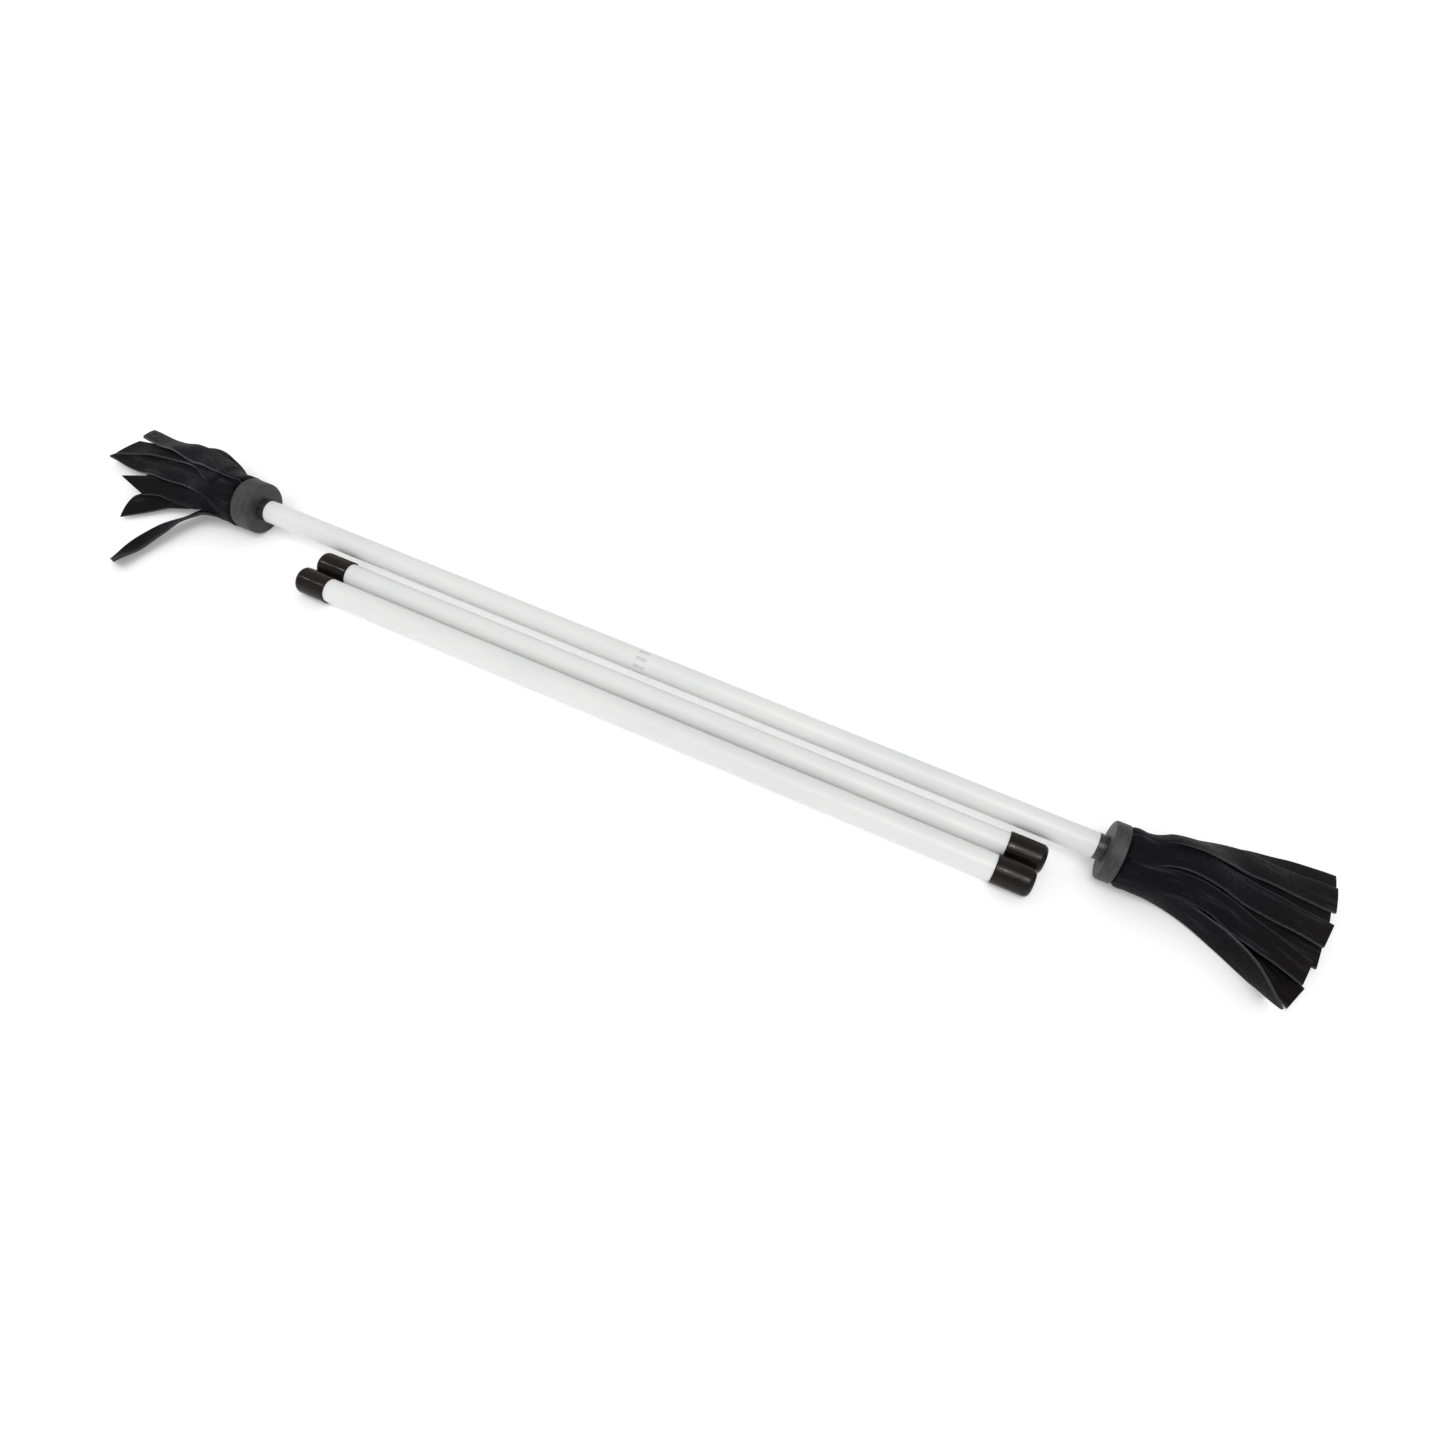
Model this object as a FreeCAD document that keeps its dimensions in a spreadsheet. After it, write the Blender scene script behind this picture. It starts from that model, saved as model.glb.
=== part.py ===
"""Flower stick juggling set: one fringed baton and two hand sticks, lying side by side.

Units are millimetres, +Z is up and the set lies on the plane Z = 0. X runs along the sticks.
The origin is on that plane, below the middle of the set's footprint. Left is -X, right is +X.

The baton is a wooden rod in a silicone sleeve. At each end a neck tape closes the sleeve, and a
rubber collar holds the rolled header band of a suede fringe. Each fringe bends at the mouth of
its collar. Each hand stick is a rod in a sleeve, with a dipped vinyl cap on both ends.
"""
import FreeCAD, Part
import math
import os
import Sketcher
from FreeCAD import Placement, Rotation, Vector

SHEET = "Dims"

# Driving dimensions: alias, value, meaning.
DIMENSIONS = [
    # Baton
    ("shaft_length", 537.5, "visible shaft between the two collar faces"),
    ("baton_y", 11.5, "baton axis, sideways from the middle of the footprint"),
    ("rod_diameter", 10.0, "wooden core rod of the baton and of the hand sticks"),
    ("rod_end_inset", 1.35, "core rod end, back from the collar mouth"),
    ("sleeve_diameter", 14.0, "silicone sleeve of the baton, outside"),
    ("tape_diameter", 14.3, "neck tape, outside"),
    ("tape_width", 4.8, "neck tape along the shaft"),
    # Collar
    ("collar_diameter", 32.4, "rubber collar, outside"),
    ("left_collar_length", 12.0, "left rubber collar along the baton"),
    ("right_collar_length", 8.0, "right rubber collar along the baton"),
    ("collar_wall", 1.7, "rubber collar, wall round the fringe"),
    ("collar_floor", 2.5, "rubber collar, wall that faces the shaft"),
    ("collar_edge", 1.5, "rounding of the collar's edge towards the shaft"),
    ("collar_lip", 0.6, "rounding of the collar's mouth"),
    ("header_inset", 0.5, "header band, back from the collar mouth"),
    # Fringe
    ("root_radius", 14.2, "ball at the fringe's bend"),
    ("root_gap", 0.5, "gap between the collar mouth and that ball"),
    ("layer_slope", 6.0, "slope in degrees of the plane between the fringe's two layers"),
    ("loose_length", 64.0, "loose strip of the left fringe"),
    ("loose_width", 9.0, "loose strip of the left fringe"),
    ("loose_thickness", 2.4, "loose strip of the left fringe"),
    ("loose_heading", 69.0, "turn in degrees of the loose strip away from the baton"),
    ("loose_slope", 9.0, "slope in degrees of the loose strip down to the floor"),
    ("loose_root_reach", 26.0, "start of the loose strip, out from the collar mouth"),
    ("loose_root_side", 12.0, "start of the loose strip, sideways from the baton axis"),
    # Hand sticks
    ("stick_length", 456.0, "hand stick over its caps"),
    ("stick_sleeve_diameter", 14.5, "silicone sleeve of a hand stick, outside"),
    ("cap_diameter", 16.3, "dipped cap, outside"),
    ("cap_length", 20.8, "dipped cap along the stick"),
    ("cap_floor", 2.0, "dipped cap, thickness of its closed end"),
    ("cap_edge", 3.2, "rounding of the cap's closed end"),
    ("cap_lip", 0.5, "rounding of the cap's mouth"),
    ("cap_gap", 0.3, "gap between the caps of the two hand sticks"),
    ("rear_stick_side", 16.3, "rear hand stick axis, sideways from the baton axis"),
    ("rear_stick_start", 56.0, "rear hand stick's left end, from the left collar face"),
    ("front_stick_start", 53.8, "front hand stick's left end, from the left collar face"),
]

# Sections across each fringe, from its bend to its tips: distance out from the collar mouth,
# middle sideways from the baton axis, middle height, half width and half height.
FRINGE_SECTIONS = {
    "left": [(45.0, 4.0, 14.0, 27.0, 10.5), (72.0, -4.0, 9.5, 36.0, 8.0), (114.0, 14.0, 6.0, 24.0, 6.0)],
    "right": [(49.0, 2.5, 13.0, 27.0, 10.0), (84.0, 2.0, 9.0, 41.0, 7.5), (114.0, 12.0, 6.0, 38.0, 6.0)],
}
SECTION_FIELDS = ("reach", "side", "height", "half_width", "half_height")

OUTWARD = {"left": -1, "right": 1}
SECTION_TURN = Rotation(Vector(1, 1, 1), 120)  # turns an ellipse's plane square to X
HALF_TURN = Rotation(Vector(0, 0, 1), 180)
FLOOR_GAP = 0.3  # lowest edge of the loose strip, above the floor


def dim(expression):
    """Write every alias in an expression as a reference to the spreadsheet."""
    words = expression.split()
    return " ".join(f"{SHEET}.{word}" if word in ALIASES else word for word in words)


def section_alias(side, index, field):
    """Name of one cell that sizes a fringe section."""
    return f"{side}_section_{'abc'[index]}_{field}"


def all_dimensions():
    """Every row of the spreadsheet: the driving dimensions, then the fringe sections."""
    rows = list(DIMENSIONS)
    for side, sections in FRINGE_SECTIONS.items():
        for index, section in enumerate(sections):
            for field, value in zip(SECTION_FIELDS, section):
                rows.append((section_alias(side, index, field), value, f"{side} fringe, {field}"))
    return rows


ALIASES = {row[0] for row in all_dimensions()}


def make_sheet(doc):
    """Put every driving dimension in one spreadsheet."""
    sheet = doc.addObject("Spreadsheet::Sheet", SHEET)
    for row, (alias, value, meaning) in enumerate(all_dimensions(), 1):
        sheet.set(f"A{row}", meaning)
        sheet.set(f"B{row}", str(value))
        sheet.setAlias(f"B{row}", alias)
    doc.recompute()
    return sheet


def place(obj, x, y, z, rotation=None):
    """Place a piece at expressions for x, y and z."""
    obj.Placement = Placement(Vector(), rotation or Rotation())
    for axis, expression in zip("xyz", (x, y, z)):
        obj.setExpression(f".Placement.Base.{axis}", dim(expression))


def plane(body, role):
    """One of a body's own origin planes."""
    return next(f for f in body.Origin.OriginFeatures if f.Role == role)


def circle_sketch(body, name, diameters, offset=None):
    """Sketch of concentric circles across X, at an offset along X from the body's origin."""
    sketch = body.newObject("Sketcher::SketchObject", name)
    sketch.AttachmentSupport = [(plane(body, "YZ_Plane"), "")]
    sketch.MapMode = "FlatFace"
    if offset:
        sketch.setExpression(".AttachmentOffset.Base.z", dim(offset))
    for index, diameter in enumerate(diameters):
        sketch.addGeometry(Part.Circle(Vector(), Vector(0, 0, 1), 5.0 + index))
        sketch.addConstraint(Sketcher.Constraint("Coincident", index, 3, -1, 1))
        size = sketch.addConstraint(Sketcher.Constraint("Diameter", index, 10.0 + 2 * index))
        sketch.renameConstraint(size, f"diameter_{index}")
        sketch.setExpression(f".Constraints.diameter_{index}", dim(diameter))
    return sketch


def pad(body, name, diameters, length):
    """Pad concentric circles along X from the body's origin."""
    feature = body.newObject("PartDesign::Pad", name)
    feature.Profile = circle_sketch(body, name + "_sketch", diameters)
    feature.setExpression("Length", dim(length))
    body.Document.recompute()
    return feature


def bore(body, name, diameter, mouth, depth):
    """Cut a round hole from the plane at the mouth, back towards the body's origin."""
    before = body.Shape.Volume
    feature = body.newObject("PartDesign::Pocket", name)
    feature.Profile = circle_sketch(body, name + "_sketch", [diameter], mouth)
    feature.setExpression("Length", dim(depth))
    body.Document.recompute()
    if body.Shape.Volume > before - 1.0:
        raise RuntimeError(f"{body.Label}: {name} cuts nothing")


def round_edges(body, name, x, radius, size):
    """Round the circular edges of one radius that lie on the plane at x."""
    edges = []
    for number, edge in enumerate(body.Shape.Edges, 1):
        curve = edge.Curve
        if not isinstance(curve, Part.Circle):
            continue
        if abs(curve.Center.x - x) < 0.01 and abs(curve.Radius - radius) < 0.01:
            edges.append(f"Edge{number}")
    if not edges:
        raise RuntimeError(f"{body.Label}: no edge to round at {x}")
    base = body.Tip
    feature = body.newObject("PartDesign::Fillet", name)
    feature.Base = (base, edges)
    feature.setExpression("Radius", dim(size))
    body.Document.recompute()


def new_body(doc, label):
    body = doc.addObject("PartDesign::Body", label)
    body.Label = label
    return body


def rod(doc, label, length):
    """Wooden dowel along X from its own origin."""
    piece = new_body(doc, label)
    pad(piece, label + "_dowel", ["rod_diameter"], length)
    return piece


def tube(doc, label, outside, inside, length):
    """Plain tube along X from its own origin."""
    piece = new_body(doc, label)
    pad(piece, label + "_wall", [outside, inside], length)
    return piece


def collar(doc, sheet, label):
    """Rubber cup along X: the face with the shaft hole is at its origin, the mouth at +X."""
    piece = new_body(doc, label)
    length = f"{label}_length"
    pad(piece, label + "_block", ["collar_diameter"], length)
    round_edges(piece, label + "_edge", 0.0, sheet.collar_diameter / 2, "collar_edge")
    round_edges(piece, label + "_lip", sheet.get(length), sheet.collar_diameter / 2, "collar_lip")
    bore(piece, label + "_cup", "collar_diameter - 2 * collar_wall", length, f"{length} - collar_floor")
    bore(piece, label + "_shaft_hole", "sleeve_diameter", "collar_floor", "collar_floor")
    return piece


def cap(doc, sheet, label):
    """Dipped vinyl cap along X: its closed end is at its origin, the mouth at +X."""
    piece = new_body(doc, label)
    pad(piece, label + "_block", ["cap_diameter"], "cap_length")
    round_edges(piece, label + "_edge", 0.0, sheet.cap_diameter / 2, "cap_edge")
    round_edges(piece, label + "_lip", sheet.cap_length, sheet.cap_diameter / 2, "cap_lip")
    bore(piece, label + "_socket", "stick_sleeve_diameter", "cap_length", "cap_length - cap_floor")
    return piece


def make_baton(doc, sheet):
    """Rod, sleeve, and at each end a neck tape, a collar and the fringe's header band."""
    height = "collar_diameter / 2"
    core = rod(doc, "baton_core_rod",
               "shaft_length + left_collar_length + right_collar_length - 2 * rod_end_inset")
    place(core, "rod_end_inset - left_collar_length - shaft_length / 2", "baton_y", height)
    sleeve = tube(doc, "baton_grip_sleeve", "sleeve_diameter", "rod_diameter",
                  "shaft_length + 2 * collar_floor")
    place(sleeve, "0 - shaft_length / 2 - collar_floor", "baton_y", height)
    pieces = [core, sleeve]
    for side, out in OUTWARD.items():
        turn = HALF_TURN if out < 0 else Rotation()
        tape = tube(doc, f"{side}_neck_tape", "tape_diameter", "sleeve_diameter", "tape_width")
        place(tape, f"{out} * ( shaft_length / 2 - tape_width )", "baton_y", height, turn)
        cup = collar(doc, sheet, f"{side}_collar")
        cup_depth = f"{side}_collar_length - collar_floor"
        place(cup, f"{out} * shaft_length / 2", "baton_y", height, turn)
        header = new_body(doc, f"{side}_fringe_header")
        pad(header, f"{side}_header_roll", ["collar_diameter - 2 * collar_wall"],
            f"{cup_depth} - header_inset")
        bore(header, f"{side}_header_hole", "rod_diameter", f"{cup_depth} - rod_end_inset",
             f"{cup_depth} - rod_end_inset")
        place(header, f"{out} * ( shaft_length / 2 + collar_floor )", "baton_y", height, turn)
        pieces += [tape, cup, header]
    return pieces


def bend_x(side):
    """Expression for the X of a fringe's bend, just outside the collar mouth."""
    return f"{OUTWARD[side]} * ( shaft_length / 2 + {side}_collar_length + root_gap + root_radius )"


def fringe_fan(doc, side):
    """Flared solid that holds one fringe: a ball at the bend and a fan down to the tips."""
    out = OUTWARD[side]
    ball = doc.addObject("Part::Sphere", f"{side}_bend_ball")
    ball.setExpression("Radius", dim("root_radius"))
    place(ball, bend_x(side), "baton_y", "collar_diameter / 2")

    neck = doc.addObject("Part::Ellipse", f"{side}_section_neck")
    neck.setExpression("MajorRadius", dim("root_radius - 0.05"))
    neck.setExpression("MinorRadius", dim("root_radius - 0.1"))
    place(neck, bend_x(side), "baton_y", "collar_diameter / 2", SECTION_TURN)
    sections = [neck]
    for index in range(len(FRINGE_SECTIONS[side])):
        names = {field: section_alias(side, index, field) for field in SECTION_FIELDS}
        oval = doc.addObject("Part::Ellipse", f"{side}_section_{'abc'[index]}")
        oval.setExpression("MajorRadius", dim(names["half_width"]))
        oval.setExpression("MinorRadius", dim(names["half_height"]))
        place(oval, f"{out} * ( shaft_length / 2 + {side}_collar_length + {names['reach']} )",
              f"baton_y + {names['side']}", names["height"], SECTION_TURN)
        sections.append(oval)

    flare = doc.addObject("Part::Loft", f"{side}_flare")
    flare.Sections = sections
    flare.Solid = True
    flare.Ruled = True
    return boolean(doc, "Part::Fuse", f"{side}_fan", ball, flare)


def bend_point(sheet, side):
    """The point that a fringe turns about, on the baton's axis just outside the collar mouth."""
    mouth = sheet.shaft_length / 2 + sheet.get(f"{side}_collar_length")
    reach = mouth + sheet.root_gap + sheet.root_radius
    return Vector(OUTWARD[side] * reach, sheet.baton_y, sheet.collar_diameter / 2)


def upper_space(doc, sheet, side):
    """Large block above the sloping plane that parts a fringe's two layers."""
    block = doc.addObject("Part::Box", f"{side}_upper_space")
    for size in ("Length", "Width", "Height"):
        block.setExpression(size, dim("shaft_length"))
    slope = Rotation(Vector(0, 1, 0), OUTWARD[side] * sheet.layer_slope)
    to_corner = slope.multVec(Vector(-sheet.shaft_length / 2, -sheet.shaft_length / 2, 0))
    block.Placement = Placement(bend_point(sheet, side) + to_corner, slope)
    return block


def boolean(doc, kind, label, base, tool):
    piece = doc.addObject(kind, label)
    piece.Label = label
    piece.Base = base
    piece.Tool = tool
    return piece


def loose_strip(doc, sheet, fan):
    """The one strip that curls away from the left fringe, from the fan's side to the floor."""
    strip = doc.addObject("Part::Box", "loose_strip_blank")
    strip.setExpression("Length", dim("loose_length"))
    strip.setExpression("Width", dim("loose_width"))
    strip.setExpression("Height", dim("loose_thickness"))
    heading = Rotation(Vector(0, 0, 1), 180 + sheet.loose_heading)
    downhill = heading.multiply(Rotation(Vector(0, 1, 0), sheet.loose_slope))
    drop = sheet.loose_length * math.sin(math.radians(sheet.loose_slope))
    root = Vector(-sheet.shaft_length / 2 - sheet.left_collar_length - sheet.loose_root_reach,
                  sheet.baton_y - sheet.loose_root_side, drop + FLOOR_GAP)
    to_corner = downhill.multVec(Vector(0, -sheet.loose_width / 2, 0))
    strip.Placement = Placement(root + to_corner, downhill)
    return boolean(doc, "Part::Cut", "left_fringe_loose_strip", strip, fan)


def make_fringes(doc, sheet):
    """Both fringes, each in an upper and a lower layer, and the left one's loose strip."""
    pieces = []
    for side in OUTWARD:
        fan = fringe_fan(doc, side)
        space = upper_space(doc, sheet, side)
        pieces.append(boolean(doc, "Part::Common", f"{side}_fringe_upper_layer", fan, space))
        pieces.append(boolean(doc, "Part::Cut", f"{side}_fringe_lower_layer", fan, space))
        if side == "left":
            pieces.append(loose_strip(doc, sheet, fan))
    return pieces


def make_hand_stick(doc, sheet, name, start, side):
    """Rod, sleeve and two caps of one hand stick."""
    y = f"baton_y - {side}"
    height = "cap_diameter / 2"
    left_end = f"{start} - shaft_length / 2"
    inner_length = "stick_length - 2 * cap_floor"
    core = rod(doc, f"{name}_core_rod", inner_length)
    place(core, f"{left_end} + cap_floor", y, height)
    sleeve = tube(doc, f"{name}_grip_sleeve", "stick_sleeve_diameter", "rod_diameter", inner_length)
    place(sleeve, f"{left_end} + cap_floor", y, height)
    left_cap = cap(doc, sheet, f"{name}_left_cap")
    place(left_cap, left_end, y, height)
    right_cap = cap(doc, sheet, f"{name}_right_cap")
    place(right_cap, f"{left_end} + stick_length", y, height, HALF_TURN)
    return [core, sleeve, left_cap, right_cap]


def check(doc, pieces):
    """Stop unless every object is up to date and every piece is a sound solid."""
    for obj in doc.Objects:
        if "Invalid" in obj.State or "Error" in obj.State:
            raise RuntimeError(f"{obj.Label} failed: {obj.State}")
    for piece in pieces:
        shape = piece.Shape
        if shape.isNull() or not shape.isValid() or not shape.Solids:
            raise RuntimeError(f"{piece.Label} is not a sound solid")


def main():
    doc = FreeCAD.newDocument("flower_stick_set")
    sheet = make_sheet(doc)
    pieces = make_baton(doc, sheet)
    pieces += make_fringes(doc, sheet)
    pieces += make_hand_stick(doc, sheet, "rear_stick", "rear_stick_start", "rear_stick_side")
    pieces += make_hand_stick(doc, sheet, "front_stick", "front_stick_start",
                              "( rear_stick_side + cap_diameter + cap_gap )")
    doc.recompute()
    check(doc, pieces)
    os.makedirs("parts", exist_ok=True)
    for piece in pieces:
        piece.Shape.exportStep(f"parts/{piece.Label}.step")
        box = piece.Shape.BoundBox
        print(f"{piece.Label:28s} X {box.XMin:8.2f} {box.XMax:8.2f}  Z {box.ZMin:6.2f} {box.ZMax:6.2f}")


main()
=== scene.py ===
"""Looks of the flower stick juggling set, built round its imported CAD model.

The row frame is in metres: X runs along the sticks, +Z is up and the set lies on the plane Z = 0.
The rods, sleeves, tapes, collars, header bands and caps are the CAD nodes with new materials. The
suede fringes are built here, strip by strip, in place of the plain solids that stand for them.
"""
import math

import bmesh
import bpy
import numpy as np
from mathutils import Matrix, Vector


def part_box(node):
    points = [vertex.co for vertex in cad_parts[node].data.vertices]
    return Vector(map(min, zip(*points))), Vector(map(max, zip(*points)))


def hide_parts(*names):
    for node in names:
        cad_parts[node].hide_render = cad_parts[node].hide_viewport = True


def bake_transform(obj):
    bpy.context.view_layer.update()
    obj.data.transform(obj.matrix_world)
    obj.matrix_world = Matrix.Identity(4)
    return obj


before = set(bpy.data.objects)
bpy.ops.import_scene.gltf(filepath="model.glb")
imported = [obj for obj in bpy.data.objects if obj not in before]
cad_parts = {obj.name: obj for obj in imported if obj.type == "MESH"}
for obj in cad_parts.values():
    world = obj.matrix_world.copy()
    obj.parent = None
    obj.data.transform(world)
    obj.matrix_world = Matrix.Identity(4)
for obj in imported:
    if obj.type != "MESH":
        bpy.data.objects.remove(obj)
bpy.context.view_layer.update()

MM = 0.001
OUTWARD = {"left": -1, "right": 1}

CAMERA_PLACE = (0.1721, -0.3389, 0.4352)
CAMERA_HEADING = math.radians(18.87)  # from the rear towards the left
CAMERA_TILT = math.radians(50.09)  # down from the horizon
CAMERA_ROLL = math.radians(7.64)
CAMERA_LENS = 24.72  # mm, with a sensor 36 mm wide

LIGHT_TILT = math.radians(24)  # of the sun and the glints' lamps, towards the camera
GLINT_REACH = 0.8  # distance of a glint's lamp, across the sticks
GLINT_INSET = 3 * MM  # of the glints, from a cap's ends
GLINT_SIZE = (0.005, 0.12)  # of a glint's lamp, along and across the sticks

# Suede strips
THICKNESS = 1.3 * MM
ROOT_WIDTHS = ((0.0, 13.6), (2.0, 15.0))  # reach and width of a strip, in and just out of its collar
FLARE_REACH = 24.0  # mm from the mouth, where a strip has come to its full width
ROOT_RING = [(-2.0, 0.0), (0.0, 0.1), (1.8, 1.75), (9.0, 1.9)]  # reach and rise from its ring, mm
ROWS = 76  # of points along a strip
COLUMNS = 13  # of points across a strip
ROOT_ROWS = 14  # of the rows, over the first length at the root
ROOT_LENGTH = 12.0
LAY_GAP = 0.2  # mm between strips that lie on each other
PASS_UNDER = 5.0  # mm below another strip's top, where a strip passes under it instead
LAY_SMOOTHING = 10  # steps that even out a strip's rise along its length
FREE_REACH = 10.0  # mm from the mouth, up to where a strip stays on its ring
FLOOR_GAP = 0.15  # mm between the lowest strips and the floor
MAP_CELL = 1.5  # mm, of the height map that one fringe's strips are laid on
MAP_LOW = (-5.0, -100.0)  # reach and side of its first corner, mm
MAP_SHAPE = (100, 110)  # its cells in reach and side
WRINKLE_REACH = 40.0  # mm along a strip, where its wrinkles come to their full depth
EDGE_BEVEL = 0.25 * MM  # of the strips' cut edges

STRIP_PITCH = 15.5 * MM  # width of a strip as the band is cut
REPLACED = {
    "left_suede_upper_strips": "left_fringe_upper_layer",
    "left_suede_lower_strips": "left_fringe_lower_layer",
    "left_suede_loose_strip": "left_fringe_loose_strip",
    "right_suede_upper_strips": "right_fringe_upper_layer",
    "right_suede_lower_strips": "right_fringe_lower_layer",
}

# Every strip: object, angle round the collar in degrees (0 rear, 90 top, 180 front), ring radius,
# width, slant of its cut end (how much farther out one corner is), and stations along it:
# distance out from the collar mouth, sideways from the baton's axis, height, roll in degrees, and
# how much its middle stands above its edges. Lengths are in mm. A strip lies over those before it.
STRIPS = [
    ("right_suede_upper_strips", 205, 13.6, 16.5, 9.0,
     [(32, -13, 9.5, 98, 1.2), (47, -17.2, 8.9, 90, 0.9), (60, -23.3, 8.9, 88, 0.8),
      (70, -30, 8.9, 94, 0.6), (78, -36.5, 8.5, 106, 0.4), (85.3, -42.5, 7.6, 120, 0.3)]),
    ("right_suede_lower_strips", -42, 11.5, 15.5, 0.0,
     [(36, 18, 5, -155, -1.0), (74, 27, 3, -175, -0.5), (105, 31, 2, -180, 0.0)]),
    ("right_suede_lower_strips", -95, 13.6, 15.5, 2.0,
     [(36, 4, 3, -180, -1.0), (74, 7, 2, -180, -0.5), (105, 9, 2, -180, 0.0)]),
    ("right_suede_lower_strips", 235, 11.5, 15.5, 2.5,
     [(34, -4, 6, 165, -1.0), (60, -10, 4, 178, -0.5), (80, -19.5, 3, 180, 0.0),
      (97.7, -31.6, 2.6, 180, 0.3)]),
    ("right_suede_lower_strips", -15, 13.6, 15.5, 3.0,
     [(34, 23, 13, -60, 1.5), (60, 33, 12, -20, 1.0), (84, 38.5, 9.5, -8, 0.6),
      (111.4, 43, 6.5, -4, 0.4)]),
    ("right_suede_lower_strips", 62, 11.3, 15.5, 2.0,
     [(36, 14, 22.5, -15, 1.2), (69, 19.5, 14.5, -5, 0.5), (109, 21, 7.3, 0, 0.3)]),
    ("right_suede_lower_strips", 120, 11.3, 15.5, 1.5,
     [(36, -2, 23.5, 10, 1.2), (66, -3, 14.5, 4, 0.6), (86, -4, 10, 2, 0.5), (105.6, -5, 6.3, 0, 0.3)]),
    ("right_suede_upper_strips", 152, 13.6, 14.0, -1.0,
     [(38, -10, 21.5, 42, 1.2), (63, -11.8, 14.4, 22, 0.4), (86, -15, 9.8, 8, 0.0),
      (100, -18.2, 6.8, 5, 0.2)]),
    ("right_suede_upper_strips", 98, 13.6, 15.5, 4.5,
     [(35, 5.5, 25, 4, 1.4), (63, 7, 17, 2, 1.0), (90, 7.8, 11.8, 0, 0.6), (108.5, 8.2, 8, 0, 0.3)]),
    ("right_suede_upper_strips", 42, 13.6, 16.0, 2.4,
     [(36, 19.5, 24, -30, 1.4), (54, 25, 19.5, -14, 1.0), (81, 28.5, 14, -8, 0.7),
      (111.2, 32, 9, -3, 0.4)]),

    ("left_suede_lower_strips", -62, 13.6, 15.5, 0.0,
     [(30, 8, 3, -170, -1.0), (60, 8, 2, -178, -0.5), (90, 8, 2, -180, 0.0)]),
    ("left_suede_lower_strips", 250, 11.5, 15.5, 0.0,
     [(28, -3, 5, 170, -1.0), (55, -2, 3, 178, -0.5), (84, 3, 2.5, 180, 0.3)]),
    ("left_suede_loose_strip", 234, 13.6, 13.0, 5.0,
     [(17, -13.5, 7, 135, 0.8), (28, -16.5, 6, 142, 0.5), (35, -28, 6.3, 152, 0.5),
      (38.5, -42, 5.4, 163, 0.8), (41.3, -57, 4, 168, 1.4), (42.5, -73.5, 5.2, 150, 0.4)]),
    ("left_suede_upper_strips", 205, 11.5, 15.5, -10.0,
     [(18, -12, 14, 80, 1.2), (33, -10, 13, 50, 1.2), (51, -12.5, 9, 25, 1.0), (73, -31, 6, 12, 1.6)]),
    ("left_suede_lower_strips", 60, 11.3, 15.5, 0.0,
     [(24, 6, 22, -15, 1.2), (58, 11, 13.5, -6, 0.6), (99, 12, 5.5, 0, 0.3)]),
    ("left_suede_lower_strips", 2, 13.6, 15.5, 0.0,
     [(20, 15, 20.5, -35, 1.2), (34, 18, 21, -2, 1.2), (46, 21.8, 20, 6, 1.0), (58, 22.3, 17.8, 4, 0.8),
      (76, 20, 11, -5, 0.6), (95, 17, 5.5, -5, 0.3)]),
    ("left_suede_upper_strips", 184, 13.6, 16.0, 16.0,
     [(22, -14, 17, 60, 1.4), (42, -11.5, 14, 35, 1.4), (60, -11, 12, 22, 1.2), (79, -18.7, 9, 36, 0.6)]),
    ("left_suede_upper_strips", 128, 13.6, 16.0, -6.0,
     [(24, -7, 25, 20, 1.4), (44, -1, 20.5, 10, 1.4), (66, 0.5, 16, 4, 1.4), (92, 3, 10.3, 0, 1.2),
      (115.4, 8, 6.5, 0, 0.6)]),
    ("left_suede_upper_strips", 108, 11.5, 15.5, -6.0,
     [(26, 3, 24.5, 0, 1.2), (45, 13.5, 19.5, -4, 1.2), (71, 18, 14, -2, 1.0), (90, 16.5, 10.5, 0, 0.8),
      (113.7, 12, 7.5, 2, 0.4)]),
    ("left_suede_upper_strips", 58, 13.6, 15.5, 14.0,
     [(24, 10.5, 24.3, -15, 1.4), (40, 14.2, 22.3, -3, 1.2), (52, 16.5, 20.5, -3, 1.0),
      (71, 21, 16.3, -20, 0.8), (88, 25, 13, -22, 0.5), (113.7, 30, 9, -25, 0.4)]),
]


# ---------------------------------------------------------------- places read from the frame

def middle(node):
    """Middle of a CAD node's box."""
    low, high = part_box(node)
    return (low + high) / 2


AXIS_Y = middle("baton_grip_sleeve").y
AXIS_HEIGHT = middle("baton_grip_sleeve").z / MM
MOUTH_X = {"left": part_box("left_collar")[0].x, "right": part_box("right_collar")[1].x}


# ---------------------------------------------------------------- suede strips, in mm from the mouth

def smooth_path(rows, count):
    """Cubic curve through rows whose first three numbers are a place, with more rows at the root."""
    rows = np.array(rows, float)
    gaps = np.linalg.norm(np.diff(rows[:, :3], axis=0), axis=1)
    knots = np.concatenate([[0.0], np.cumsum(gaps)])
    slopes = np.gradient(rows, knots, axis=0)
    at = np.concatenate([np.linspace(0.0, ROOT_LENGTH, ROOT_ROWS, endpoint=False),
                         np.linspace(ROOT_LENGTH, knots[-1], count - ROOT_ROWS)])
    span = np.clip(np.searchsorted(knots, at) - 1, 0, len(gaps) - 1)
    gap = gaps[span][:, None]
    u = (at - knots[span])[:, None] / gap
    values = ((2 * u**3 - 3 * u**2 + 1) * rows[span] + (3 * u**2 - 2 * u**3) * rows[span + 1]
              + (u**3 - 2 * u**2 + u) * gap * slopes[span] + (u**3 - u**2) * gap * slopes[span + 1])
    return values, at


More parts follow.
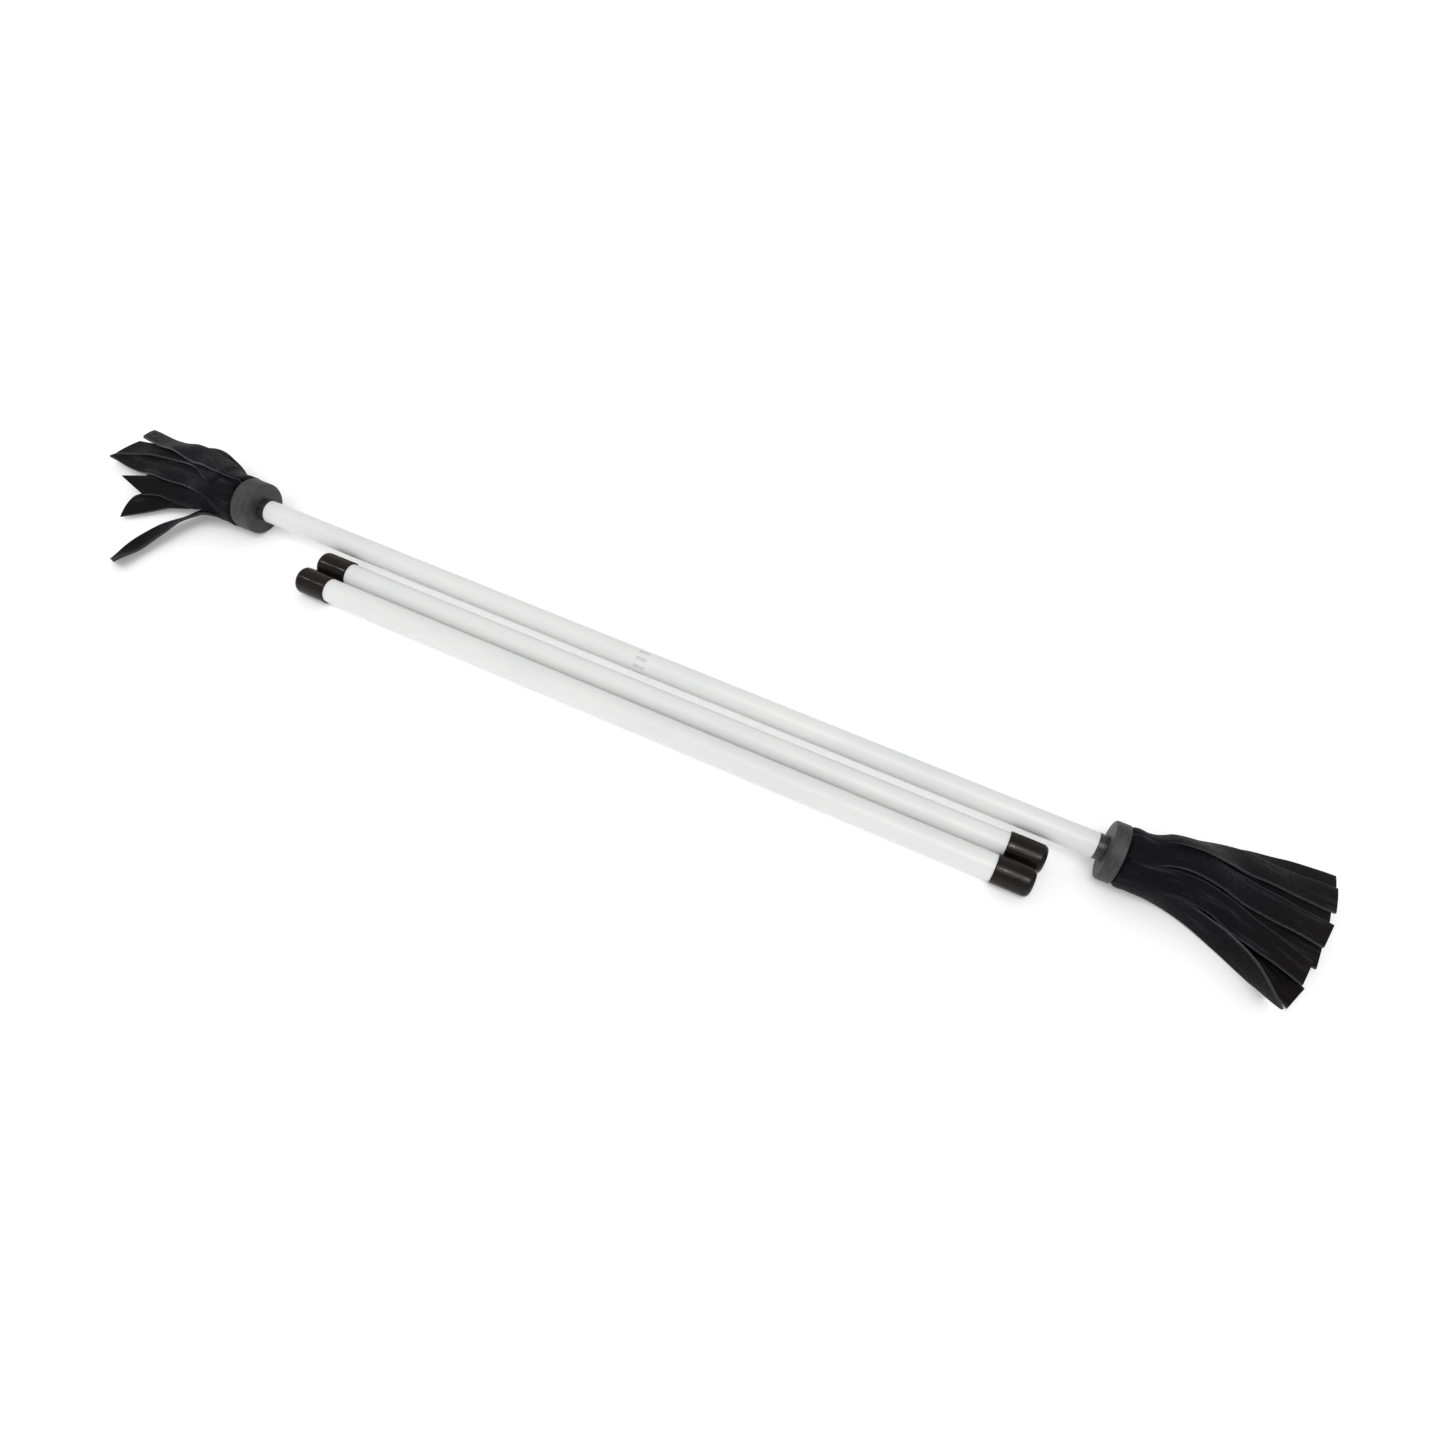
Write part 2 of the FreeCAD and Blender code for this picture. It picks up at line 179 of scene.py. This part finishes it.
def root_rows(ring, radius, width):
    """The rows at a strip's root, from behind the collar's mouth to the bulge outside it."""
    angle = math.radians(ring)
    rows = []
    for reach, rise in ROOT_RING:
        distance = radius + rise
        arch = width_at(reach, width)**2 / (8 * distance)
        rows.append((reach, distance * math.cos(angle), AXIS_HEIGHT + distance * math.sin(angle),
                     ring - 90, arch))
    return rows


def width_at(reach, width):
    """Width of a strip at a distance from the mouth: squeezed in the collar, full farther out."""
    reaches, widths = zip(*ROOT_WIDTHS, (FLARE_REACH, width))
    return np.interp(reach, reaches, widths)


def strip_surface(ring, radius, width, slant, stations):
    """Middle surface of one strip as a grid of points, and the distance of each row along it."""
    path, along = smooth_path(root_rows(ring, radius, width) + stations, ROWS)
    place, roll, arch = path[:, :3], np.radians(path[:, 3])[:, None], path[:, 4]
    forward = np.gradient(place, axis=0)
    forward /= np.linalg.norm(forward, axis=1)[:, None]
    side = np.cross([0.0, 0.0, 1.0], forward)
    side /= np.linalg.norm(side, axis=1)[:, None]
    up = np.cross(forward, side)
    across = np.cos(roll) * side + np.sin(roll) * up
    out = np.cos(roll) * up - np.sin(roll) * side

    widths = width_at(path[:, 0], width)
    share = np.linspace(-0.5, 0.5, COLUMNS)
    grid = np.zeros((ROWS, COLUMNS, 3))
    for row in range(ROWS):
        v = share * widths[row]
        bend = 8 * arch[row] / widths[row]**2
        if abs(bend) < 1e-4:
            shift, rise = v, 0 * v
        else:
            shift, rise = np.sin(v * bend) / bend, (np.cos(v * bend) - 1) / bend
        cut = slant * share * (along[row] / along[-1])**3
        grid[row] = (place[row] + np.outer(shift, across[row]) + np.outer(rise, out[row])
                     + np.outer(cut, forward[row]))
    return grid, along


def spread_maximum(field):
    """Largest value among each cell and its eight neighbours."""
    padded = np.pad(field, 1, mode="edge")
    shifted = [padded[i:i + field.shape[0], j:j + field.shape[1]] for i in range(3) for j in range(3)]
    return np.max(shifted, axis=0)


def even_lift(rise):
    """A lift that varies smoothly along a strip and straight across it, no lower than the rise."""
    half = COLUMNS // 2 + 1
    edges = np.stack([rise[:, :half].max(axis=1), rise[:, -half:].max(axis=1)], axis=1)
    for step in range(2 * LAY_SMOOTHING):
        padded = np.pad(edges, ((1, 1), (0, 0)), mode="edge")
        even = (padded[:-2] + 2 * edges + padded[2:]) / 4
        edges = np.maximum(edges, even) if step < LAY_SMOOTHING else even
    share = np.linspace(0, 1, COLUMNS)
    return edges[:, :1] * (1 - share) + edges[:, 1:] * share


def settle(grids):
    """Lay one fringe's strips over each other and over the floor, lower strips first."""
    heights = np.zeros(MAP_SHAPE)
    thickness = THICKNESS / MM
    laid = []
    for grid in grids:
        i = ((grid[..., 0] - MAP_LOW[0]) / MAP_CELL).astype(int)
        j = ((grid[..., 1] - MAP_LOW[1]) / MAP_CELL).astype(int)
        rise = spread_maximum(heights)[i, j] + LAY_GAP + thickness / 2 - grid[..., 2]
        rise[(rise < 0) | (rise > PASS_UNDER)] = 0.0
        free = np.clip((grid[..., 0] - FREE_REACH) / FREE_REACH, 0, 1)
        laid_grid = grid.copy()
        laid_grid[..., 2] += even_lift(rise * free) * free
        np.maximum.at(heights, (i, j), laid_grid[..., 2] + thickness / 2)
        laid.append(laid_grid)
    return laid


def wrinkle(grid, along, seed):
    """Shallow waves along and across a strip, none at its root, and never below the floor."""
    strength = np.clip(along / WRINKLE_REACH, 0, 1)[:, None]
    share = np.linspace(-0.5, 0.5, COLUMNS)[None, :]
    s = along[:, None]
    wave = (0.30 * np.sin(0.13 * s + 2.3 * seed + 2.0 * share)
            + 0.12 * np.sin(0.29 * s - 1.1 * seed - 3.0 * share))
    edge = 0.25 * np.sin(0.09 * s + seed)
    moved = grid.copy()
    moved[..., 2] += wave * strength
    moved += (edge * share * 2 * strength)[..., None] * across_direction(grid)
    moved[..., 2] = np.maximum(moved[..., 2], THICKNESS / MM / 2 + FLOOR_GAP)
    return moved


def across_direction(grid):
    """Direction from edge to edge of a strip at each point."""
    direction = np.gradient(grid, axis=1)
    return direction / np.linalg.norm(direction, axis=2)[..., None]


def to_frame(grid, side):
    """A grid in mm from one collar's mouth, as points of the row frame."""
    points = grid * MM
    points[..., 0] = MOUTH_X[side] + OUTWARD[side] * points[..., 0]
    points[..., 1] += AXIS_Y
    return points


# ---------------------------------------------------------------- suede meshes

def strips_object(name, strips):
    """One mesh of the strips given as (grid of points, distance along each row, number)."""
    mesh = bmesh.new()
    uv = mesh.loops.layers.uv.new("strip")
    tipward = mesh.verts.layers.float.new("tipward")
    for points, along, number in strips:
        verts = [[mesh.verts.new(p) for p in row] for row in points]
        for row, line in enumerate(verts):
            for vert in line:
                vert[tipward] = along[row] / along[-1]
        for row in range(ROWS - 1):
            for column in range(COLUMNS - 1):
                corners = [(row, column), (row + 1, column), (row + 1, column + 1), (row, column + 1)]
                face = mesh.faces.new([verts[i][j] for i, j in corners])
                face.smooth = True
                for loop, (i, j) in zip(face.loops, corners):
                    across = j / (COLUMNS - 1) * STRIP_PITCH + number * STRIP_PITCH
                    loop[uv].uv = (across, along[i] * MM)
    data = bpy.data.meshes.new(name)
    mesh.to_mesh(data)
    mesh.free()
    piece = bpy.data.objects.new(name, data)
    bpy.context.scene.collection.objects.link(piece)
    return thicken(piece)


def thicken(piece):
    """Give a suede piece its thickness, with slightly rounded cut edges of their own material."""
    data = piece.data
    data.materials.append(SUEDE)
    data.materials.append(CUT_EDGE)
    solid = piece.modifiers.new("thickness", "SOLIDIFY")
    solid.thickness = THICKNESS
    solid.offset = 0.0
    solid.use_even_offset = True
    solid.material_offset_rim = 1
    bevel = piece.modifiers.new("edge", "BEVEL")
    bevel.width = EDGE_BEVEL
    bevel.segments = 2
    bevel.limit_method = "ANGLE"
    bevel.angle_limit = math.radians(50)
    bevel.material = -1
    view = bpy.context.evaluated_depsgraph_get()
    final = bpy.data.meshes.new_from_object(piece.evaluated_get(view))
    final.name = piece.name
    piece.modifiers.clear()
    piece.data = final
    bpy.data.meshes.remove(data)
    return piece


def make_fringe(side):
    """Every strip of one fringe, joined by layer."""
    rows = [strip for strip in STRIPS if strip[0].startswith(side)]
    surfaces = [strip_surface(*strip[1:]) for strip in rows]
    grids = settle([grid for grid, _ in surfaces])
    layers = {}
    for number, (strip, grid, (_, along)) in enumerate(zip(rows, grids, surfaces)):
        points = to_frame(wrinkle(grid, along, number + 1), side)
        layers.setdefault(strip[0], []).append((points, along, number))
    for name, strips in layers.items():
        piece = strips_object(name, strips)
        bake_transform(piece)
        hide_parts(REPLACED[name])


# ---------------------------------------------------------------- materials

class Paint:
    """A Principled material, with short ways to add nodes to it."""

    def __init__(self, name, **inputs):
        self.material = bpy.data.materials.new(name)
        self.material.use_nodes = True
        self.tree = self.material.node_tree
        self.shader = next(n for n in self.tree.nodes if n.type == "BSDF_PRINCIPLED")
        self.set(self.shader, inputs)

    def set(self, node, inputs):
        for name, value in inputs.items():
            socket = node.inputs[name.replace("_", " ")]
            if isinstance(value, bpy.types.NodeSocket):
                self.tree.links.new(value, socket)
            else:
                socket.default_value = value

    def add(self, kind, **inputs):
        node = self.tree.nodes.new(kind)
        self.set(node, inputs)
        return node

    def math(self, operation, *values, clamp=False):
        node = self.tree.nodes.new("ShaderNodeMath")
        node.operation = operation
        node.use_clamp = clamp
        for socket, value in zip(node.inputs, values):
            if isinstance(value, bpy.types.NodeSocket):
                self.tree.links.new(value, socket)
            else:
                socket.default_value = value
        return node.outputs[0]

    def place(self, stretch=(1, 1, 1), source="Object"):
        """Coordinates in metres, stretched along each axis."""
        coordinates = self.tree.nodes.new("ShaderNodeTexCoord").outputs[source]
        return self.add("ShaderNodeMapping", Vector=coordinates, Scale=stretch).outputs[0]

    def noise(self, scale, detail=3.0, stretch=(1, 1, 1), source="Object", roughness=0.55):
        """Noise from 0 to 1, with about this many features a metre."""
        node = self.add("ShaderNodeTexNoise", Vector=self.place(stretch, source), Scale=scale,
                        Detail=detail, Roughness=roughness)
        return node.outputs["Fac"]

    def between(self, share, low, high, start=0.3, end=0.7):
        """A value that goes from low to high as share goes from start to end."""
        node = self.add("ShaderNodeMapRange", Value=share)
        node.interpolation_type = "SMOOTHSTEP"
        for name, value in (("From Min", start), ("From Max", end), ("To Min", low), ("To Max", high)):
            node.inputs[name].default_value = value
        return node.outputs[0]

    def mix(self, share, first, second):
        """Mix of two colours, each a colour or a socket."""
        node = self.tree.nodes.new("ShaderNodeMix")
        node.data_type = "RGBA"
        colours = [socket for socket in node.inputs if socket.type == "RGBA"]
        for socket, value in ((node.inputs[0], share), (colours[0], first), (colours[1], second)):
            if isinstance(value, bpy.types.NodeSocket):
                self.tree.links.new(value, socket)
            elif socket.type == "RGBA":
                socket.default_value = (*value, 1.0)
            else:
                socket.default_value = value
        return next(socket for socket in node.outputs if socket.type == "RGBA")

    def bump(self, height, distance, strength=1.0, normal=None):
        """Normal of a surface whose height varies by this distance in metres."""
        node = self.add("ShaderNodeBump", Height=height, Distance=distance, Strength=strength)
        if normal is not None:
            self.tree.links.new(normal, node.inputs["Normal"])
        return node.outputs[0]

    def wear(self, **inputs):
        self.set(self.shader, inputs)
        return self.material


def suede(name, face, tip, wear_and_painted_highlight, sheen):
    """Black suede: short nap in clumps, painted highlights as lighter streaks along each strip and along
    its long edges, browner towards the tip.
    """
    paint = Paint(name, Sheen_Weight=sheen, Sheen_Roughness=0.45, Sheen_Tint=(0.55, 0.56, 0.62, 1),
                  Specular_IOR_Level=0.08)
    clumps = paint.noise(420, 4, source="UV")
    streaks = paint.noise(260, 3, stretch=(1, 0.12, 1), source="UV")
    nap = paint.noise(3600, 2, source="UV", roughness=0.7)
    tipward = tipward_share(paint)
    ageing = paint.math("MULTIPLY", paint.between(tipward, 0, 1, 0.45, 1.0),
                        paint.between(clumps, 0.4, 1.0))
    colour = paint.mix(ageing, face, tip)
    # painted highlight: lighter streaks along each strip, in place of light on its folds
    colour = paint.mix(paint.between(streaks, 0, 0.4, 0.52, 0.74), colour, wear_and_painted_highlight)
    # painted highlight: lighter along each strip's long edges, fading in away from the root
    painted_edge_highlight = paint.math("MULTIPLY", strip_edges(paint), paint.between(tipward, 0, 1, 0.15, 0.4))
    colour = paint.mix(paint.math("MULTIPLY", painted_edge_highlight, paint.between(clumps, 0.3, 1.0)), colour, wear_and_painted_highlight)
    normal = paint.bump(nap, 0.00025, 0.5)
    normal = paint.bump(streaks, 0.0007, 0.35, normal)
    return paint.wear(Base_Color=colour, Roughness=paint.between(clumps, 0.5, 0.68), Normal=normal)


def tipward_share(paint):
    """0 at a strip's root to 1 at its tip."""
    node = paint.tree.nodes.new("ShaderNodeAttribute")
    node.attribute_name = "tipward"
    return node.outputs["Fac"]


def strip_edges(paint):
    """1 along both long edges of a strip, fading to 0 towards its middle."""
    place = paint.tree.nodes.new("ShaderNodeSeparateXYZ")
    paint.tree.links.new(paint.place(source="UV"), place.inputs[0])
    share = paint.math("FRACT", paint.math("DIVIDE", place.outputs["X"], STRIP_PITCH))
    return paint.between(paint.math("ABSOLUTE", paint.math("SUBTRACT", share, 0.5)), 0, 1, 0.43, 0.5)


def cut_edge():
    """Raw cut edge of the suede: greyer, fibrous and dull, with painted shade making it darker near the
    collar.
    """
    paint = Paint("suede_cut_edge", Sheen_Weight=0.3, Sheen_Roughness=0.5, Specular_IOR_Level=0.2)
    fibres = paint.noise(2600, 4)
    tipward = tipward_share(paint)
    colour = paint.mix(paint.between(fibres, 0, 1), (0.022, 0.0215, 0.023), (0.046, 0.044, 0.0455))
    # painted shade: the cut edges go dark towards the collar, where the strips crowd into it
    colour = paint.mix(paint.between(tipward, 0, 1, 0.12, 0.4), (0.005, 0.005, 0.006), colour)
    return paint.wear(Base_Color=colour, Roughness=0.85, Normal=paint.bump(fibres, 0.0003, 0.6))


def silicone(name, mark=False):
    """White silicone tube: soft gloss, faint handling marks and shallow waves along the tube."""
    paint = Paint(name, IOR=1.43, Subsurface_Weight=0.06, Subsurface_Scale=0.002,
                  Coat_Weight=0.12, Coat_Roughness=0.18)
    handling = paint.noise(38, 5, stretch=(0.35, 1, 1))
    dust = paint.noise(900, 3)
    colour = paint.mix(paint.between(handling, 0, 1, 0.4, 0.72), (0.80, 0.80, 0.795),
                       (0.755, 0.755, 0.755))
    if mark:
        colour = paint.mix(balance_mark(paint), colour, (0.42, 0.42, 0.43))
    normal = paint.bump(paint.noise(60, 2, stretch=(0.3, 1, 1)), 0.0008, 0.25)
    normal = paint.bump(dust, 0.00008, 0.25, normal)
    return paint.wear(Base_Color=colour, Roughness=paint.between(handling, 0.27, 0.4), Normal=normal)


def balance_mark(paint):
    """Faint printed ticks round the middle of the baton, where it balances."""
    half_width, tick_count, tick_level = 3.4 * MM, 9.0, 0.35
    place = paint.tree.nodes.new("ShaderNodeSeparateXYZ")
    paint.tree.links.new(paint.place(), place.inputs[0])
    from_middle = paint.math("ABSOLUTE", place.outputs["X"])
    band = paint.math("LESS_THAN", from_middle, half_width)
    sideways = paint.math("SUBTRACT", place.outputs["Y"], AXIS_Y)
    upwards = paint.math("SUBTRACT", place.outputs["Z"], AXIS_HEIGHT * MM)
    turns = paint.math("MULTIPLY", paint.math("ARCTAN2", sideways, upwards), tick_count)
    ticks = paint.math("GREATER_THAN", paint.math("SINE", turns), tick_level)
    wear_and_painted_highlight = paint.between(paint.noise(1500, 3), 0.15, 0.8)
    return paint.math("MULTIPLY", paint.math("MULTIPLY", band, ticks), wear_and_painted_highlight)


def neck_tape():
    """Black vinyl tape: glossy, with small wrinkles round the shaft."""
    paint = Paint("neck_tape_vinyl", Coat_Weight=0.3, Coat_Roughness=0.15)
    wrinkles = paint.noise(700, 3, stretch=(2.5, 1, 1))
    colour = paint.mix(paint.between(wrinkles, 0, 1), (0.012, 0.012, 0.013), (0.03, 0.03, 0.032))
    return paint.wear(Base_Color=colour, Roughness=paint.between(wrinkles, 0.22, 0.38),
                      Normal=paint.bump(wrinkles, 0.0004, 0.5))


def collar_rubber():
    """Dark grey rubber: dull, scuffed along its turning lines and a little lighter where it rubs."""
    paint = Paint("collar_rubber_worn", Specular_IOR_Level=0.4)
    scuffs = paint.noise(180, 4, stretch=(3.0, 0.5, 0.5))
    grain = paint.noise(2200, 3)
    rub = paint.between(paint.noise(70, 4), 0, 1, 0.45, 0.72)
    colour = paint.mix(paint.between(scuffs, 0, 1, 0.35, 0.75), (0.024, 0.0232, 0.024),
                       (0.052, 0.05, 0.051))
    colour = paint.mix(paint.math("MULTIPLY", rub, 0.35), colour, (0.09, 0.088, 0.088))
    normal = paint.bump(scuffs, 0.0004, 0.3)
    normal = paint.bump(grain, 0.0001, 0.5, normal)
    return paint.wear(Base_Color=colour, Roughness=paint.between(scuffs, 0.42, 0.6), Normal=normal)


def cap_vinyl():
    """Dipped vinyl: thick, brown-black and glossy, with the soft unevenness of a dipped skin."""
    paint = Paint("cap_dipped_vinyl", Coat_Weight=0.1, Coat_Roughness=0.05, Specular_IOR_Level=0.15)
    sag = paint.noise(130, 2, stretch=(0.6, 1, 1))
    dust = paint.noise(1400, 4)
    colour = paint.mix(paint.between(sag, 0, 1), (0.006, 0.0035, 0.0033), (0.013, 0.0075, 0.007))
    colour = paint.mix(paint.between(dust, 0, 0.25, 0.66, 0.8), colour, (0.09, 0.08, 0.078))
    return paint.wear(Base_Color=colour, Roughness=paint.between(sag, 0.14, 0.26),
                      Normal=paint.bump(sag, 0.0012, 0.35))


def dowel_wood():
    """Raw dowel, grain along X."""
    paint = Paint("dowel_birch", Specular_IOR_Level=0.3)
    grain = paint.noise(500, 5, stretch=(0.05, 1, 1))
    pores = paint.noise(2400, 3, stretch=(0.08, 1, 1))
    colour = paint.mix(paint.between(grain, 0, 1), (0.62, 0.45, 0.28), (0.76, 0.60, 0.41))
    colour = paint.mix(paint.between(pores, 0, 0.5, 0.6, 0.75), colour, (0.40, 0.27, 0.16))
    return paint.wear(Base_Color=colour, Roughness=0.65, Normal=paint.bump(grain, 0.0003, 0.4))


def paint_cad_nodes():
    """Give every CAD node its material, by the kind of piece that its name ends in."""
    plain_sleeve = silicone("sleeve_white_silicone")
    kinds = {
        "core_rod": dowel_wood(), "grip_sleeve": plain_sleeve, "neck_tape": neck_tape(),
        "collar": collar_rubber(), "cap": cap_vinyl(), "fringe_header": SUEDE,
        "upper_layer": SUEDE, "lower_layer": SUEDE, "loose_strip": SUEDE,
    }
    for name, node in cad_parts.items():
        material = next(m for ending, m in kinds.items() if name.endswith(ending))
        if name == "baton_grip_sleeve":
            material = silicone("sleeve_marked_silicone", mark=True)
        node.data.materials.clear()
        node.data.materials.append(material)


# ---------------------------------------------------------------- stage, light and camera

def make_floor():
    """Wide pale floor under the set."""
    half = 6.0
    corners = ((-half, -half), (half, -half), (half, half), (-half, half))
    mesh = bmesh.new()
    mesh.faces.new([mesh.verts.new((x, y, 0)) for x, y in corners])
    data = bpy.data.meshes.new("floor")
    mesh.to_mesh(data)
    mesh.free()
    floor = bpy.data.objects.new("floor", data)
    bpy.context.scene.collection.objects.link(floor)
    paint = Paint("pale_floor", Roughness=0.9, Specular_IOR_Level=0.1)
    tone = paint.mix(paint.noise(6, 2), (0.93, 0.93, 0.93), (0.95, 0.95, 0.95))
    data.materials.append(paint.wear(Base_Color=tone, Emission_Color=(1, 1, 1, 1),
                                     Emission_Strength=0.2))


def glint_lamp(spot):
    """A narrow lamp that the camera sees mirrored in a cap, at this place along it."""
    lamp = bpy.data.objects.new("glint_lamp", bpy.data.lights.new("glint_lamp", "AREA"))
    lamp.data.energy = 0.15
    lamp.data.shape = "RECTANGLE"
    lamp.data.size, lamp.data.size_y = GLINT_SIZE
    to_camera = Vector(CAMERA_PLACE) - spot
    away = Vector((-to_camera.x / math.hypot(to_camera.y, to_camera.z), -math.sin(LIGHT_TILT),
                   math.cos(LIGHT_TILT)))
    lamp.location = spot + GLINT_REACH * away
    lamp.rotation_euler = (LIGHT_TILT, 0, 0)
    bpy.context.scene.collection.objects.link(lamp)


def make_lights():
    """A wide soft sun from the front, an even surround, and glints on the rear stick's caps."""
    sun = bpy.data.objects.new("soft_sun", bpy.data.lights.new("soft_sun", "SUN"))
    sun.data.energy = 0.9
    sun.data.angle = math.radians(40)
    sun.rotation_euler = (LIGHT_TILT, math.radians(6), 0)
    bpy.context.scene.collection.objects.link(sun)
    for cap in ("rear_stick_left_cap", "rear_stick_right_cap"):
        low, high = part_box(cap)
        for x in (low.x + GLINT_INSET, high.x - GLINT_INSET):
            glint_lamp(Vector((x, middle(cap).y, high.z)))
    world = bpy.data.worlds.new("surround")
    world.use_nodes = True
    background = next(n for n in world.node_tree.nodes if n.type == "BACKGROUND")
    background.inputs["Color"].default_value = (1, 1, 1, 1)
    background.inputs["Strength"].default_value = 0.66
    bpy.context.scene.world = world
    bpy.context.scene.view_settings.view_transform = "Standard"


def make_camera():
    """Camera over the front right, looking down and back towards the left, slightly rolled."""
    data = bpy.data.cameras.new("camera")
    data.sensor_width = 36.0
    data.lens = CAMERA_LENS
    data.clip_start = 0.02
    data.clip_end = 50.0
    camera = bpy.data.objects.new("camera", data)
    camera.matrix_world = (Matrix.Translation(CAMERA_PLACE)
                           @ Matrix.Rotation(CAMERA_HEADING, 4, "Z")
                           @ Matrix.Rotation(math.pi / 2 - CAMERA_TILT, 4, "X")
                           @ Matrix.Rotation(CAMERA_ROLL, 4, "Z"))
    bpy.context.scene.collection.objects.link(camera)
    bpy.context.scene.camera = camera


# the third colour is painted highlight, for the strips' lighter streaks and edges
SUEDE = suede("suede_black", face=(0.0032, 0.0032, 0.0044), tip=(0.0052, 0.0036, 0.0035),
              wear_and_painted_highlight=(0.042, 0.042, 0.048), sheen=0.02)
CUT_EDGE = cut_edge()

make_camera()
make_lights()
make_floor()
paint_cad_nodes()
for fringe_side in OUTWARD:
    make_fringe(fringe_side)
